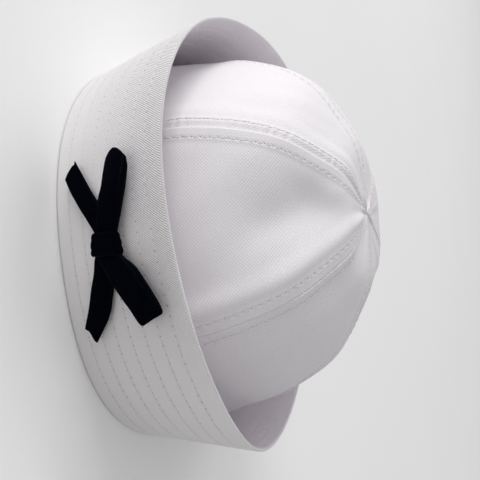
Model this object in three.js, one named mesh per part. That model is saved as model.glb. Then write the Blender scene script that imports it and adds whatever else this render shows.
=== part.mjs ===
// Sailor cap: a six-panel cloth crown inside a wide turned-up brim, with a ribbon bow on the brim's front.
// Millimetres, +Z up, front towards -Y. The cap stands on the fold of its brim, opening down.
import * as THREE from 'three';

// Plan shape shared by brim and crown: slightly oval rings, squarer at the fold.
const LONG_AXIS = THREE.MathUtils.degToRad(-73);
const FOLD = { radius: 97.3, oval: -0.045, square: 0.021, x: 5.2, y: 0.1 };
const RIM = { radius: 111, oval: -0.019, square: 0.006, x: -0.4, y: 0.1 };

// The rim's height above the fold: a mean and its waves round the cap.
const RIM_HEIGHT = 63.4;
const RIM_WAVES = [
  { turns: 1, cos: -2.4, sin: -1.0 },
  { turns: 2, cos: -0.8, sin: -5.7 },
];

const BRIM_WALL = 2.2;
const FOOT_THICKNESS = 2;
const FOOT_FILLET = 0.6;
const FOLD_ROUND = 2.4;
const SEAM_GAP = 0.3;

// Meridian of the crown, from its lower edge to the apex: mean radius and height.
const CROWN_MERIDIAN = [
  { radius: 93.2, height: 2.3 },
  { radius: 94.3, height: 16 },
  { radius: 94.3, height: 34 },
  { radius: 92.6, height: 50 },
  { radius: 91, height: 61 },
  { radius: 81.5, height: 84.3 },
  { radius: 69.3, height: 100.6 },
  { radius: 50, height: 112.8 },
  { radius: 35.5, height: 119.4 },
  { radius: 17, height: 121 },
  { radius: 1.2, height: 121.4 },
];
const CROWN_WALL = 1.6;
// Between these heights the crown's plan shape passes from the fold's to its own.
const CROWN_OWN = { low: 10, high: 55 };
const CROWN_OVAL = 0.029;
const CROWN_LEAN = { x: -0.173, xSquared: 0.00076, y: -2.8 };

// Six panels, counted round from a seam on the right, so that one is centred on the front. Flattening
// says how far a panel's middle lies inside the round of the crown, and swells it where negative.
const PANELS = [
  { place: 'back_right', flattening: 1.5 },
  { place: 'back', flattening: 0 },
  { place: 'back_left', flattening: -1.3 },
  { place: 'front_left', flattening: 4.5 },
  { place: 'front', flattening: 6 },
  { place: 'front_right', flattening: 4.5 },
];
const PANEL_TURN = (2 * Math.PI) / PANELS.length;

// Soft hollows (negative depth) and swellings of the crown: where round the cap, how high, how wide.
// They fade out towards the apex.
const DENTS = [
  { angle: -89, height: 99, wideDegrees: 13, high: 17, depth: -5.4 },
  { angle: -99, height: 106, wideDegrees: 13, high: 8, depth: -4.2 },
  { angle: 150, height: 74, wideDegrees: 20, high: 18, depth: -1.8 },
  { angle: 35, height: 88, wideDegrees: 18, high: 14, depth: -1.5 },
];
const DENTS_FADE_RADIUS = 40;

// The bow's ribbons, each a row for every section from the knot outwards: the lower and upper edge
// (across the front, height above the fold) and how far the ribbon's middle stands off the brim.
const RIBBON = 1;
const LOOP_TURN = 1.1;
const BOW_LOOPS = {
  bow_loop_left: [
    { low: [-0.8, 28.2], high: [-0.8, 35.6], front: 4.9, back: 3.6 },
    { low: [-6.4, 28.2], high: [-6.4, 37.2], front: 5.1, back: 3.6 },
    { low: [-16.8, 31.8], high: [-15.4, 41.9], front: 7.4, back: 3.5 },
    { low: [-24, 34.6], high: [-23.6, 44.3], front: 8.0, back: 3.6 },
    { low: [-31.5, 35.4], high: [-31, 45.4], front: 7.2, back: 3.8 },
    { low: [-37.6, 36.2], high: [-35.4, 44.9], front: 6.2, back: 4.4 },
  ],
  bow_loop_right: [
    { low: [0.8, 27.4], high: [0.8, 35.8], front: 4.9, back: 3.6 },
    { low: [6.4, 27.8], high: [6.2, 38], front: 5.1, back: 3.6 },
    { low: [13.2, 33], high: [10.6, 46], front: 7.0, back: 3.5 },
    { low: [20.8, 38], high: [18.2, 51], front: 7.8, back: 3.6 },
    { low: [28.4, 42.4], high: [24.6, 54.4], front: 7.2, back: 3.8 },
    { low: [34.4, 45.2], high: [29.8, 56], front: 6.2, back: 4.4 },
  ],
};
const BOW_TAILS = {
  bow_tail_left: [
    { low: [-0.8, 27.4], high: [-0.8, 34], off: 2.2 },
    { low: [-6, 27], high: [-7, 34.4], off: 2.2 },
    { low: [-10.4, 21.4], high: [-14, 30.6], off: 1.9 },
    { low: [-16.7, 17], high: [-20.6, 25.4], off: 1.9 },
    { low: [-23, 13], high: [-27.5, 20.6], off: 2.4 },
    { low: [-30.7, 8.8], high: [-37.2, 14.4], off: 3.2 },
  ],
  bow_tail_right: [
    { low: [0.8, 26.4], high: [0.8, 33.6], off: 2.2 },
    { low: [6, 25.2], high: [7, 34], off: 2.2 },
    { low: [11.6, 21.8], high: [13.4, 32.8], off: 1.9 },
    { low: [19.1, 18.7], high: [21.6, 30], off: 1.9 },
    { low: [28.6, 15], high: [31, 25.6], off: 2.4 },
    { low: [36.3, 11.1], high: [42.4, 15.6], off: 3.2 },
  ],
};
const KNOT = { halfWidth: 5, low: 24.2, high: 39.6, front: 7.2, back: 0.4, flare: 0.9, round: 0.35 };

// Moves the cap so that the middle of its footprint is the origin.
const FOOTPRINT_MIDDLE = { x: -0.31, y: -1.51 };

const BRIM_STEPS = 90;
const BRIM_SHARES = [0.1, 0.25, 0.4, 0.55, 0.7, 0.85];
const PANEL_STEPS_ROUND = 9;
const PANEL_STEPS_UP = 17;
const RIBBON_STEPS = 11;
const KNOT_SIDES = 20;

const mix = (a, b, share) => a + (b - a) * share;

// A ring's radius at an angle: oval along LONG_AXIS, and squarer where it has a square share.
function ringRadius(ring, angle) {
  const oval = 1 + ring.oval * Math.cos(2 * (angle - LONG_AXIS));
  return ring.radius * oval * (1 - ring.square * Math.cos(4 * angle));
}

function rimHeight(angle) {
  let height = RIM_HEIGHT;
  for (const wave of RIM_WAVES) {
    height += wave.cos * Math.cos(wave.turns * angle) + wave.sin * Math.sin(wave.turns * angle);
  }
  return height;
}

// A point of the brim's outer face, share of the way from fold to rim, moved outwards by off.
function brimPoint(angle, share, off = 0) {
  const radius = mix(ringRadius(FOLD, angle), ringRadius(RIM, angle), share) + off;
  const x = mix(FOLD.x, RIM.x, share) + radius * Math.cos(angle);
  const y = mix(FOLD.y, RIM.y, share) + radius * Math.sin(angle);
  return new THREE.Vector3(x, y, share * rimHeight(angle));
}

// A point in front of the brim's face, given across the front and by height, standing off by off.
function frontPoint(across, height, off) {
  let angle = -Math.PI / 2;
  for (let pass = 0; pass < 6; pass += 1) {
    const point = brimPoint(angle, height / rimHeight(angle), off);
    angle += (across - point.x) / -point.y;
  }
  return brimPoint(angle, height / rimHeight(angle), off);
}

// Six times the volume that the triangles enclose, negative where they face inwards.
function signedVolume(points, triangles) {
  let volume = 0;
  for (const [a, b, c] of triangles) {
    volume += points[a].dot(points[b].clone().cross(points[c]));
  }
  return volume;
}

// A closed mesh from sections, each a ring of points: a row of one face, then back along the other.
// The sections either close round on the first or end in lids.
function closedGrid(sections, { ringed }) {
  const width = sections[0].length;
  const count = sections.length;
  const points = sections.flat();
  const quads = [];
  for (let row = 0; row < (ringed ? count : count - 1); row += 1) {
    const next = (row + 1) % count;
    for (let column = 0; column < width; column += 1) {
      const beside = (column + 1) % width;
      const ends = [row * width, next * width];
      quads.push([ends[0] + column, ends[0] + beside, ends[1] + beside, ends[1] + column]);
    }
  }
  if (!ringed) {
    const top = (count - 1) * width;
    for (let column = 0; column < width / 2 - 1; column += 1) {
      const back = width - 1 - column;
      quads.push([column, back, back - 1, column + 1]);
      quads.push([top + column, top + column + 1, top + back - 1, top + back]);
    }
  }
  const triangles = quads.flatMap(([a, b, c, d]) => [[a, b, c], [a, c, d]]);
  const outwards = signedVolume(points, triangles) > 0;
  const geometry = new THREE.BufferGeometry();
  geometry.setFromPoints(points);
  geometry.setIndex(triangles.flatMap(([a, b, c]) => (outwards ? [a, b, c] : [a, c, b])));
  geometry.computeVertexNormals();
  return geometry;
}

// The brim at an angle: a foot turned in under the crown, a round fold, and a wall flaring up to a
// rounded rim. Its points run from the foot up the outer face and down the inner one.
function brimSection(angle) {
  const fold = ringRadius(FOLD, angle);
  const footEdge = ringRadius({ ...FOLD, radius: CROWN_MERIDIAN[0].radius }, angle) - CROWN_WALL;
  const height = rimHeight(angle);
  const foldPoint = (radius, up) => {
    return new THREE.Vector3(FOLD.x + radius * Math.cos(angle), FOLD.y + radius * Math.sin(angle), up);
  };
  const wall = (down, off) => brimPoint(angle, 1 - down / height, off);
  const walls = (off) => BRIM_SHARES.map((share) => brimPoint(angle, share, off));
  const corner = FOLD_ROUND * (1 - Math.SQRT1_2);
  const edge = BRIM_WALL / 2;
  const edgeCorner = edge * (1 - Math.SQRT1_2);
  return [
    foldPoint(footEdge, 0),
    foldPoint(fold - FOLD_ROUND, 0),
    foldPoint(fold - corner, corner),
    brimPoint(angle, FOLD_ROUND / height),
    ...walls(0),
    wall(edge, 0),
    wall(edgeCorner, -edgeCorner),
    wall(0, -edge),
    wall(edgeCorner, edgeCorner - BRIM_WALL),
    wall(edge, -BRIM_WALL),
    ...walls(-BRIM_WALL).reverse(),
    brimPoint(angle, (FOOT_THICKNESS + FOOT_FILLET) / height, -BRIM_WALL),
    foldPoint(fold - BRIM_WALL - FOOT_FILLET, FOOT_THICKNESS),
    foldPoint(footEdge, FOOT_THICKNESS),
  ];
}

function brimGeometry() {
  const rows = [];
  for (let step = 0; step < BRIM_STEPS; step += 1) {
    rows.push(brimSection((step / BRIM_STEPS) * 2 * Math.PI));
  }
  return closedGrid(rows, { ringed: true });
}

const meridian = new THREE.CatmullRomCurve3(
  CROWN_MERIDIAN.map(({ radius, height }) => new THREE.Vector3(radius, 0, height)),
  false,
  'centripetal',
);

function dentDepth(angle, height) {
  let depth = 0;
  for (const dent of DENTS) {
    const turn = angle - THREE.MathUtils.degToRad(dent.angle);
    const across = THREE.MathUtils.radToDeg(Math.atan2(Math.sin(turn), Math.cos(turn))) / dent.wideDegrees;
    const along = (height - dent.height) / dent.high;
    depth += dent.depth * Math.exp(-across * across - along * along);
  }
  return depth;
}

// A point of the crown's outer face, share of the way up its meridian, or of the round before its panels
// are flattened.
function crownPoint(angle, share, flattened = true) {
  const { x: radius, z: height } = meridian.getPointAt(share);
  const crownShare = THREE.MathUtils.smoothstep(height, CROWN_OWN.low, CROWN_OWN.high);
  const ring = {
    radius,
    oval: mix(FOLD.oval, CROWN_OVAL, crownShare),
    square: mix(FOLD.square, 0, crownShare),
  };
  const panel = Math.floor(angle / PANEL_TURN);
  const across = 2 * (angle / PANEL_TURN - panel) - 1; // from -1 at a panel's first seam to 1 at its second
  const flattening = flattened ? PANELS[panel].flattening : 0;
  const flat = flattening * Math.sin(Math.PI * share) * (1 - across ** 2);
  const dent = dentDepth(angle, height) * Math.min(1, radius / DENTS_FADE_RADIUS);
  const out = ringRadius(ring, angle) - flat + dent;
  const x = FOLD.x + CROWN_LEAN.x * height + CROWN_LEAN.xSquared * height ** 2;
  const y = FOLD.y + CROWN_LEAN.y * crownShare;
  return new THREE.Vector3(x + out * Math.cos(angle), y + out * Math.sin(angle), height);
}

// The way out from the crown's unflattened round, which turns smoothly over the seams.
function crownNormal(angle, share) {
  const step = 0.002; // radians round the crown, and share of its meridian
  const across = crownPoint(angle + step, share, false).sub(crownPoint(angle - step, share, false));
  const low = crownPoint(angle, Math.max(0, share - step), false);
  const up = crownPoint(angle, Math.min(1, share + step), false).sub(low);
  return across.cross(up).normalize();
}

// One crown panel: a curved shell between two seams, from the foot to the apex.
function panelGeometry(firstSeam) {
  const rows = [];
  for (let step = 0; step <= PANEL_STEPS_UP; step += 1) {
    const share = step / PANEL_STEPS_UP;
    const margin = Math.asin(SEAM_GAP / 2 / meridian.getPointAt(share).x);
    const outer = [];
    const inner = [];
    for (let column = 0; column <= PANEL_STEPS_ROUND; column += 1) {
      const angle = mix(firstSeam + margin, firstSeam + PANEL_TURN - margin, column / PANEL_STEPS_ROUND);
      const point = crownPoint(angle, share);
      outer.push(point);
      inner.push(point.clone().addScaledVector(crownNormal(angle, share), -CROWN_WALL));
    }
    rows.push([...outer, ...inner.reverse()]);
  }
  return closedGrid(rows, { ringed: false });
}

// A ribbon's four-cornered section between its lower and upper edge, its first face at off and its
// second at offBehind.
function ribbonSection(low, high, off, offBehind) {
  return [
    frontPoint(low.x, low.y, off),
    frontPoint(high.x, high.y, off),
    frontPoint(high.x, high.y, offBehind),
    frontPoint(low.x, low.y, offBehind),
  ];
}

// Sections in between a bow table's own, on smooth curves through its edges and its offsets.
function smoothRows(table, readOffsets) {
  const smooth = (read) => {
    const points = table.map((row) => new THREE.Vector3(...read(row), 0));
    return new THREE.CatmullRomCurve3(points, false, 'catmullrom');
  };
  const low = smooth((row) => row.low);
  const high = smooth((row) => row.high);
  const offsets = smooth(readOffsets);
  const rows = [];
  for (let step = 0; step <= RIBBON_STEPS; step += 1) {
    const share = step / RIBBON_STEPS;
    const off = offsets.getPoint(share);
    rows.push({ low: low.getPoint(share), high: high.getPoint(share), front: off.x, back: off.y });
  }
  return rows;
}

function tailGeometry(table) {
  const rows = smoothRows(table, (row) => [row.off + RIBBON / 2, row.off - RIBBON / 2]);
  const sections = rows.map(({ low, high, front, back }) => ribbonSection(low, high, front, back));
  return closedGrid(sections, { ringed: false });
}

// A loop: the ribbon goes out in front, turns over past its last row and comes back behind.
function loopGeometry(table) {
  const half = RIBBON / 2;
  const rows = smoothRows(table, (row) => [row.front, row.back]);
  const out = rows.map(({ low, high, front }) => ribbonSection(low, high, front + half, front - half));
  const home = rows.map(({ low, high, back }) => ribbonSection(low, high, back - half, back + half));
  const end = rows[rows.length - 1];
  const outwards = new THREE.Vector3(Math.sign(end.low.x) * LOOP_TURN, 0, 0);
  const beyond = { low: end.low.clone().add(outwards), high: end.high.clone().add(outwards) };
  const turn = [2 / 3, 1 / 3].map((share) => {
    const outer = mix(end.back, end.front, share);
    const inner = mix(end.back + half, end.front - half, share);
    return [
      frontPoint(beyond.low.x, beyond.low.y, outer),
      frontPoint(beyond.high.x, beyond.high.y, outer),
      frontPoint(end.high.x, end.high.y, inner),
      frontPoint(end.low.x, end.low.y, inner),
    ];
  });
  return closedGrid([...out, ...turn, ...home.reverse()], { ringed: false });
}

// The knot: a band of ribbon wound round the middle of the bow, open at its left and right.
function knotRing(across, inset) {
  const halfHigh = (KNOT.high - KNOT.low) / 2 - inset + KNOT.flare * across;
  const halfDeep = (KNOT.front - KNOT.back) / 2 - inset;
  const bend = (value) => Math.sign(value) * Math.abs(value) ** KNOT.round;
  const points = [];
  for (let side = 0; side < KNOT_SIDES; side += 1) {
    const turn = ((side + 0.5) / KNOT_SIDES) * 2 * Math.PI;
    const height = (KNOT.high + KNOT.low) / 2 + halfHigh * bend(Math.cos(turn));
    const off = (KNOT.front + KNOT.back) / 2 + halfDeep * bend(Math.sin(turn));
    points.push(frontPoint(KNOT.halfWidth * across, height, off));
  }
  return points;
}

function knotGeometry() {
  const stations = [-1, -0.5, 0, 0.5, 1];
  const outside = stations.map((across) => knotRing(across, 0));
  const inside = stations.map((across) => knotRing(across, RIBBON)).reverse();
  return closedGrid([...outside, ...inside], { ringed: true });
}

const cloth = () => new THREE.MeshStandardMaterial({ color: 0xf1f1f5, roughness: 0.9, metalness: 0 });
const velvet = () => new THREE.MeshStandardMaterial({ color: 0x05070f, roughness: 0.95, metalness: 0 });

function addPiece(group, name, geometry, material) {
  const mesh = new THREE.Mesh(geometry, material);
  mesh.name = name;
  group.add(mesh);
}

const cap = new THREE.Group();
addPiece(cap, 'brim', brimGeometry(), cloth());
PANELS.forEach(({ place }, number) => {
  addPiece(cap, `crown_panel_${place}`, panelGeometry(number * PANEL_TURN), cloth());
});
for (const [name, table] of Object.entries(BOW_LOOPS)) {
  addPiece(cap, name, loopGeometry(table), velvet());
}
for (const [name, table] of Object.entries(BOW_TAILS)) {
  addPiece(cap, name, tailGeometry(table), velvet());
}
addPiece(cap, 'bow_knot', knotGeometry(), velvet());
cap.position.set(-FOOTPRINT_MIDDLE.x, -FOOTPRINT_MIDDLE.y, 0);

export default cap;
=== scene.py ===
"""Looks of the sailor cap: a sewn cotton brim and crown with their topstitching, and a velvet bow.

Shapes are worked out in millimetres in the cap's own frame, +Z up and its front towards -Y, and are
placed in the row frame in metres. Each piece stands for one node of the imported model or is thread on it.
"""
import math

import bpy
import numpy as np
from mathutils import Matrix, Vector


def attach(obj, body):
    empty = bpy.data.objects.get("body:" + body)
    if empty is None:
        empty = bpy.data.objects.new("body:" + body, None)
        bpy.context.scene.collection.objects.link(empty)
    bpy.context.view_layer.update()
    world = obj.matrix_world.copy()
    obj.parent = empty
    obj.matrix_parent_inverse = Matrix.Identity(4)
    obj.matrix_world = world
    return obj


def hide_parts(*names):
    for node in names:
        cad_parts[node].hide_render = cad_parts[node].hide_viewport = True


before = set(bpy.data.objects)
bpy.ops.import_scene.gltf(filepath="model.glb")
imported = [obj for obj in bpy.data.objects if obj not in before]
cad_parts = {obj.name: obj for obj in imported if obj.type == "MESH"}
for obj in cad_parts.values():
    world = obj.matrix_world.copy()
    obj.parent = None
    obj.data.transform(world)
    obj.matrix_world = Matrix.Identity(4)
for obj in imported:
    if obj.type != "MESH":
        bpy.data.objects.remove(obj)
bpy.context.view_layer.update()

TAU = 2 * math.pi
METRE = 0.001  # one millimetre
FOOTPRINT_MIDDLE = np.array([-0.31, -1.51, 0.0])

# Plan shape of the brim's fold and rim, and the rim's height.
LONG_AXIS = math.radians(-73)
FOLD = {"radius": 97.3, "oval": -0.045, "square": 0.021, "x": 5.2, "y": 0.1}
RIM = {"radius": 111.0, "oval": -0.019, "square": 0.006, "x": -0.4, "y": 0.1}
RIM_HEIGHT = 63.4
RIM_WAVES = [(1, -2.4, -1.0), (2, -0.8, -5.7)]

# Crown: meridian as (mean radius, height) from its lower edge to the apex.
CROWN_MERIDIAN = [
    (93.2, 2.3),
    (94.3, 16),
    (94.3, 34),
    (92.6, 50),
    (91, 61),
    (81.5, 84.3),
    (69.3, 100.6),
    (50, 112.8),
    (35.5, 119.4),
    (17, 121),
    (1.2, 121.4),
]
CROWN_WALL = 1.6
CROWN_OWN_LOW, CROWN_OWN_HIGH = 10, 55
CROWN_OVAL = 0.029
CROWN_LEAN_X, CROWN_LEAN_XX, CROWN_LEAN_Y = -0.173, 0.00076, -2.8
PANELS = ["back_right", "back", "back_left", "front_left", "front", "front_right"]
PANEL_TURN = TAU / len(PANELS)
# How much flatter each panel is than the round of the crown, in the middle; less than nothing swells.
PANEL_FLATTENING = np.array([1.5, 0.0, -1.3, 4.5, 6.0, 4.5])
# (degrees round, height, half-width in degrees, half-height, depth outwards)
DENTS = [
    (-89, 99, 12, 16, -7.0),
    (-99, 106, 12, 8, -5.6),
    (150, 74, 20, 18, -1.8),
    (35, 88, 18, 14, -1.5),
]
DENTS_FADE_RADIUS = 40

# Brim cloth and its stitching.
BRIM_WALL = 2.2
RIM_WALL = 1.7
FOLD_ROUND = 1.0
FOOT_THICKNESS = 2.0
BRIM_COLUMNS = 576
BRIM_FIRST_ROW, BRIM_ROW_STEP, BRIM_ROWS = 0.13, 0.12, 7
STITCHES_ROUND = 144
BRIM_MEAN_RADIUS = 104.0
BRIM_MEAN_HEIGHT = 65.0

# Crown seams and their topstitching.
SEAM_BAND = 5.0
THREAD_RADIUS = 0.15
THREAD_SIDES = 6
CROWN_STITCH = 4.0
PANEL_ROWS = 178
PANEL_MIDDLE_COLUMNS = 40
BAND_COLUMNS = [0, 0.2, 0.45, 0.8, 1.3, 2.0, 2.8, 3.5, 4.0, 4.4, 4.7, 5.0, 5.3, 5.6, 6.0, 6.6, 7.4, 8.6]
NARROW_PANEL = 18.0  # half-width below which a panel's seam bands close up

# The bow: low edge, high edge (across, height) and the offsets of front and back, or of the middle.
RIBBON = 1.0
BOW_SAMPLES = 12  # between a table's rows
BOW_COLUMNS = 21  # across a ribbon
LOOP_CUP, LOOP_BACK_CUP, TAIL_CUP = 0.55, 0.3, 0.3  # how far a ribbon's middle swells out
LOOP_LEFT = [
    ((-0.8, 28.4), (-0.8, 36.6), 5.0, 3.6),
    ((-5.6, 28.4), (-5.6, 38.6), 5.2, 3.6),
    ((-16.8, 31.8), (-15.4, 41.9), 7.4, 3.5),
    ((-24, 34.6), (-23.6, 44.3), 8.0, 3.6),
    ((-31.5, 35.4), (-31, 45.4), 7.2, 3.8),
    ((-37.6, 36.2), (-35.4, 44.9), 6.2, 4.4),
]
LOOP_RIGHT = [
    ((0.8, 27.4), (0.8, 36.8), 5.0, 3.6),
    ((5.6, 28), (5.4, 39.8), 5.3, 3.6),
    ((13.2, 33), (10.6, 46), 7.0, 3.5),
    ((20.8, 38), (18.2, 51), 7.8, 3.6),
    ((28.4, 42.4), (24.6, 54.4), 7.2, 3.8),
    ((34.4, 45.2), (29.8, 56), 6.2, 4.4),
]
TAIL_LEFT = [
    ((-0.8, 27.4), (-0.8, 34), 2.2),
    ((-6, 24.8), (-7, 34.4), 2.2),
    ((-10.4, 21.4), (-14, 30.6), 1.9),
    ((-16.7, 17), (-20.6, 25.4), 1.9),
    ((-23, 13), (-27.5, 20.6), 2.4),
    ((-30.7, 8.8), (-37.2, 14.4), 3.2),
]
TAIL_RIGHT = [
    ((0.8, 26.4), (0.8, 33.6), 2.2),
    ((6, 23.8), (7, 34), 2.2),
    ((11.6, 21.8), (13.4, 32.8), 1.9),
    ((19.1, 18.7), (21.6, 30), 1.9),
    ((28.6, 15), (31, 25.6), 2.4),
    ((36.3, 11.1), (42.4, 15.6), 3.2),
]
KNOT_HALF_WIDTH = 5.0
KNOT_LOW, KNOT_HIGH, KNOT_FLARE = 24.2, 39.6, 0.9
KNOT_FRONT, KNOT_BACK, KNOT_ROUND = 7.2, 0.4, 0.35
KNOT_BARREL = 0.8


# ---------------------------------------------------------------- small helpers


def mix(a, b, share):
    return a + (b - a) * share


def smooth(value, low, high):
    share = np.clip((value - low) / (high - low), 0, 1)
    return share * share * (3 - 2 * share)


def bell(value, width):
    return np.exp(-((value / width) ** 2))


def unit(vectors):
    length = np.linalg.norm(vectors, axis=-1, keepdims=True)
    return vectors / np.maximum(length, 1e-12)


def ripple(value, waves):
    """A sum of sines: waves holds (turns per unit, phase, height)."""
    total = 0.0
    for turns, phase, height in waves:
        total = total + height * np.sin(turns * value + phase)
    return total


# ---------------------------------------------------------------- shapes shared with the CAD part


def ring_radius(radius, oval, square, angle):
    return radius * (1 + oval * np.cos(2 * (angle - LONG_AXIS))) * (1 - square * np.cos(4 * angle))


def rim_height(angle):
    height = RIM_HEIGHT
    for turns, along_cos, along_sin in RIM_WAVES:
        height = height + along_cos * np.cos(turns * angle) + along_sin * np.sin(turns * angle)
    return height


def brim_point(angle, share, off):
    fold = ring_radius(FOLD["radius"], FOLD["oval"], FOLD["square"], angle)
    rim = ring_radius(RIM["radius"], RIM["oval"], RIM["square"], angle)
    radius = mix(fold, rim, share) + off
    x = mix(FOLD["x"], RIM["x"], share) + radius * np.cos(angle)
    y = mix(FOLD["y"], RIM["y"], share) + radius * np.sin(angle)
    z = share * rim_height(angle)
    return np.stack(np.broadcast_arrays(x, y, z), axis=-1)


def front_point(across, height, off):
    """A point before the brim's front, given across it and by height, standing off its face by off."""
    across, height, off = np.broadcast_arrays(*(np.asarray(v, float) for v in (across, height, off)))
    angle = np.full(across.shape, -math.pi / 2)
    for _ in range(6):
        point = brim_point(angle, height / rim_height(angle), off)
        angle = angle + (across - point[..., 0]) / -point[..., 1]
    return brim_point(angle, height / rim_height(angle), off)


def catmull_rom(points, samples, centripetal):
    """Points on a smooth curve through the given ones, the same number between each pair."""
    points = np.asarray(points, float)
    before = 2 * points[0] - points[1]
    after = 2 * points[-1] - points[-2]
    whole = np.vstack([before, points, after])
    share = np.linspace(0, 1, samples, endpoint=False)[:, None]
    pieces = []
    for first in range(len(points) - 1):
        p0, p1, p2, p3 = whole[first : first + 4]
        gaps = [1.0, 1.0, 1.0]
        if centripetal:
            gaps = [np.linalg.norm(b - a) ** 0.5 for a, b in ((p0, p1), (p1, p2), (p2, p3))]
        start = (p1 - p0) / gaps[0] - (p2 - p0) / (gaps[0] + gaps[1]) + (p2 - p1) / gaps[1]
        end = (p2 - p1) / gaps[1] - (p3 - p1) / (gaps[1] + gaps[2]) + (p3 - p2) / gaps[2]
        start, end = start * gaps[1], end * gaps[1]
        square = -3 * p1 + 3 * p2 - 2 * start - end
        cube = 2 * p1 - 2 * p2 + start + end
        pieces.append(p1 + start * share + square * share**2 + cube * share**3)
    pieces.append(points[-1:])
    return np.vstack(pieces)


MERIDIAN = catmull_rom(CROWN_MERIDIAN, 200, True)
MERIDIAN_RUN = np.concatenate([[0], np.cumsum(np.linalg.norm(np.diff(MERIDIAN, axis=0), axis=1))])
MERIDIAN_LENGTH = MERIDIAN_RUN[-1]


def meridian(share):
    run = np.asarray(share, float) * MERIDIAN_LENGTH
    return np.interp(run, MERIDIAN_RUN, MERIDIAN[:, 0]), np.interp(run, MERIDIAN_RUN, MERIDIAN[:, 1])


def crown_point(angle, share, off=0.0, flattened=1.0):
    """A point of the crown's outer face, share of the way up, moved outwards in plan by off."""
    radius, height = meridian(share)
    own = smooth(height, CROWN_OWN_LOW, CROWN_OWN_HIGH)
    oval = mix(FOLD["oval"], CROWN_OVAL, own)
    square = mix(FOLD["square"], 0.0, own)
    panel = np.floor(angle / PANEL_TURN).astype(int)
    across = 2 * (angle / PANEL_TURN - panel) - 1
    flat = flattened * PANEL_FLATTENING[panel % len(PANELS)] * np.sin(math.pi * share) * (1 - across**2)
    dent = 0.0
    for degrees, middle, wide, high, depth in DENTS:
        turn = angle - math.radians(degrees)
        turn = np.degrees(np.arctan2(np.sin(turn), np.cos(turn)))
        dent = dent + depth * bell(turn, wide) * bell(height - middle, high)
    dent = dent * np.minimum(1, radius / DENTS_FADE_RADIUS)
    out = ring_radius(radius, oval, square, angle) - flat + dent + off
    x = FOLD["x"] + CROWN_LEAN_X * height + CROWN_LEAN_XX * height**2 + out * np.cos(angle)
    y = FOLD["y"] + CROWN_LEAN_Y * own + out * np.sin(angle)
    return np.stack(np.broadcast_arrays(x, y, height), axis=-1)


def crown_normal(angle, share):
    """The way out from the crown's unflattened round, which turns smoothly over the seams."""
    step = 0.002

    def round_point(at_angle, at_share):
        return crown_point(at_angle, at_share, 0.0, 0.0)

    across = round_point(angle + step, share) - round_point(angle - step, share)
    up = round_point(angle, np.minimum(1, share + step)) - round_point(angle, np.maximum(0, share - step))
    return unit(np.cross(across, up))


# ---------------------------------------------------------------- meshes


def add_piece(name, points, faces, corners, material, node=None):
    """Makes a closed smooth mesh from points in millimetres and hangs it on the cap's body.

    corners holds a cloth coordinate in millimetres for every corner of every face.
    """
    placed = (np.asarray(points, float).reshape(-1, 3) - FOOTPRINT_MIDDLE) * METRE
    mesh = bpy.data.meshes.new(name)
    mesh.from_pydata(placed.tolist(), [], faces if isinstance(faces, list) else faces.tolist())
    mesh.update()
    mesh.shade_smooth()
    cloth = mesh.attributes.new("cloth", "FLOAT_VECTOR", "CORNER")
    cloth.data.foreach_set("vector", np.asarray(corners, np.float32).ravel())
    mesh.materials.append(material)
    piece = bpy.data.objects.new(name, mesh)
    bpy.context.scene.collection.objects.link(piece)
    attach(piece, "root")
    if node:
        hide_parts(node)
    return piece


def faces_outwards(points, quads):
    a, b, c, d = (points[quads[:, k]] for k in range(4))
    volume = np.einsum("ij,ij->", a, np.cross(b, c)) + np.einsum("ij,ij->", a, np.cross(c, d))
    return quads if volume > 0 else quads[:, ::-1]


def grid_piece(name, sections, cloth, ringed, material, node=None):
    """A closed mesh from sections: sections is (rows, around, 3), each row a closed ring of points.

    cloth is one wider than sections both ways, so that coordinates don't jump at the wrap. The rows
    either close round on the first or end in lids.
    """
    rows, around = sections.shape[:2]
    points = sections.reshape(-1, 3)
    row_index = np.arange(rows if ringed else rows - 1)[:, None]
    column_index = np.arange(around)[None, :]
    quads, corners = [], []
    for down, right in ((0, 0), (0, 1), (1, 1), (1, 0)):
        quads.append(((row_index + down) % rows) * around + (column_index + right) % around)
        corners.append(cloth[row_index + down, column_index + right])
    quads = np.stack([q.ravel() for q in quads], axis=1)
    corners = np.stack([c.reshape(-1, 3) for c in corners], axis=1)
    if not ringed:
        half = around // 2
        near = np.arange(half - 1)
        lids, lid_corners = [], []
        for row in (0, rows - 1):
            ladder = np.stack([near, around - 1 - near, around - 2 - near, near + 1], axis=1)
            ladder = ladder if row == 0 else ladder[:, ::-1]
            lids.append(row * around + ladder)
            lid_corners.append(cloth[row, ladder])
        quads = np.vstack([quads, *lids])
        corners = np.concatenate([corners, *lid_corners])
    turned = faces_outwards(points, quads)
    if turned is not quads:
        corners = corners[:, ::-1]
    return add_piece(name, points, turned, corners, material, node)


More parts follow.
